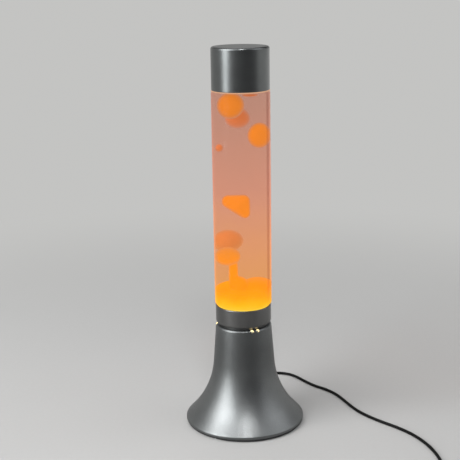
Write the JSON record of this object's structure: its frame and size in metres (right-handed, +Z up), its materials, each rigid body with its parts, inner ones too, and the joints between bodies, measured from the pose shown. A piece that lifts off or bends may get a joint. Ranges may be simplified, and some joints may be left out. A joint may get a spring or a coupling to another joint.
{
  "type": "liquid motion lamp",
  "caption": "Liquid motion lamp: a trumpet-shaped metal base with a hidden bulb, a glass vessel of coloured liquid and drifting wax, a lift-off metal cap and a corded rocker switch.",
  "frame": {"origin": "on the lamp's axis, at the surface that its feet stand on", "axes": "+Z up along the lamp's axis; -Y is the front that faces the camera, +Y the side where the cord leaves"},
  "size_m": [0.2443, 0.2998, 0.37],
  "materials": {
    "spun_aluminium": "satin brushed",
    "collar_aluminium": "satin",
    "cap_metal": "satin",
    "black_moulding": "matte moulded",
    "steel_screw": "plated",
    "foot_rubber": "matte",
    "zinc_steel": "zinc plated",
    "rivet_metal": "plain",
    "brass_stud": "turned",
    "holder_moulding": "matte moulded",
    "brass_sleeve": "pressed",
    "bulb_cap_metal": "rolled",
    "bulb_solder": "glossy insulator with solder",
    "bulb_glass": "frosted front, silvered sides",
    "bulb_stem_glass": "clear",
    "filament_wire": "drawn wire",
    "cord_moulding": "soft moulded",
    "cord_sheath": "extruded",
    "block_moulding": "moulded",
    "core_insulation": "extruded",
    "vessel_glass": "clear, polished",
    "liner_plastic": "plain",
    "crown_metal": "lacquered",
    "wax": "waxy, glowing",
    "ring_steel": "drawn wire",
    "liquid": "clear tinted liquid",
    "tie_plastic": "soft band",
    "switch_moulding": "satin moulded",
    "rocker_plastic": "polished",
    "pin_brass": "nickel plated"
  },
  "bodies": {
    "base": {"base_shell": "spun_aluminium", "base_plate": "black_moulding", "plate_screws": "steel_screw", "rubber_feet": "foot_rubber", "holder_bracket": "zinc_steel", "bracket_rivets": "rivet_metal", "holder_stud": "brass_stud", "stud_nut": "brass_stud", "holder_body": "holder_moulding", "thread_sleeve": "brass_sleeve", "centre_contact": "brass_sleeve", "bulb_screw_cap": "bulb_cap_metal", "bulb_tip": "bulb_solder", "bulb_envelope": "bulb_glass", "bulb_stem": "bulb_stem_glass", "bulb_filament": "filament_wire", "cord_relief": "cord_moulding", "cord_inner": "cord_sheath", "cord_clamp": "black_moulding", "clamp_screws": "steel_screw", "terminal_block": "block_moulding", "terminal_screws": "steel_screw", "lamp_wires": "core_insulation", "cord_run": "cord_sheath", "cord_coil": "cord_sheath", "cord_link": "cord_sheath", "cord_tail": "cord_sheath", "cord_in_plug": "cord_sheath", "cord_ties": "tie_plastic", "switch_lower": "switch_moulding", "switch_upper": "switch_moulding", "switch_screws": "steel_screw", "plug_body": "cord_moulding", "plug_pins": "pin_brass"},
    "bottle": {"glass_vessel": "vessel_glass", "collar": "collar_aluminium", "crown_liner": "liner_plastic", "crown_stopper": "crown_metal", "wax_drop_top": "wax", "wax_drop_high": "wax", "wax_film": "wax", "wax_drop_right": "wax", "wax_drop_small": "wax", "wax_drop_low": "wax", "wax_drop_middle": "wax", "wire_ring": "ring_steel", "wax_pool": "wax", "liquid": "liquid"},
    "cap": {"cap": "cap_metal"},
    "rocker": {"switch_rocker": "rocker_plastic"}
  },
  "joints": [
    {"name": "bottle_lift", "type": "slide", "parent": "base", "child": "bottle", "axis": [0, 0, 1], "range_m": [0, 0.06]},
    {"name": "cap_lift", "type": "slide", "parent": "bottle", "child": "cap", "axis": [0, 0, 1], "range_m": [0, 0.045]},
    {"name": "switch_rocker", "type": "hinge", "parent": "base", "child": "rocker", "pos_m": [0.12, -0.14, 0.011], "axis": [0, 1, 0], "range_deg": [-16, 0]}
  ]
}
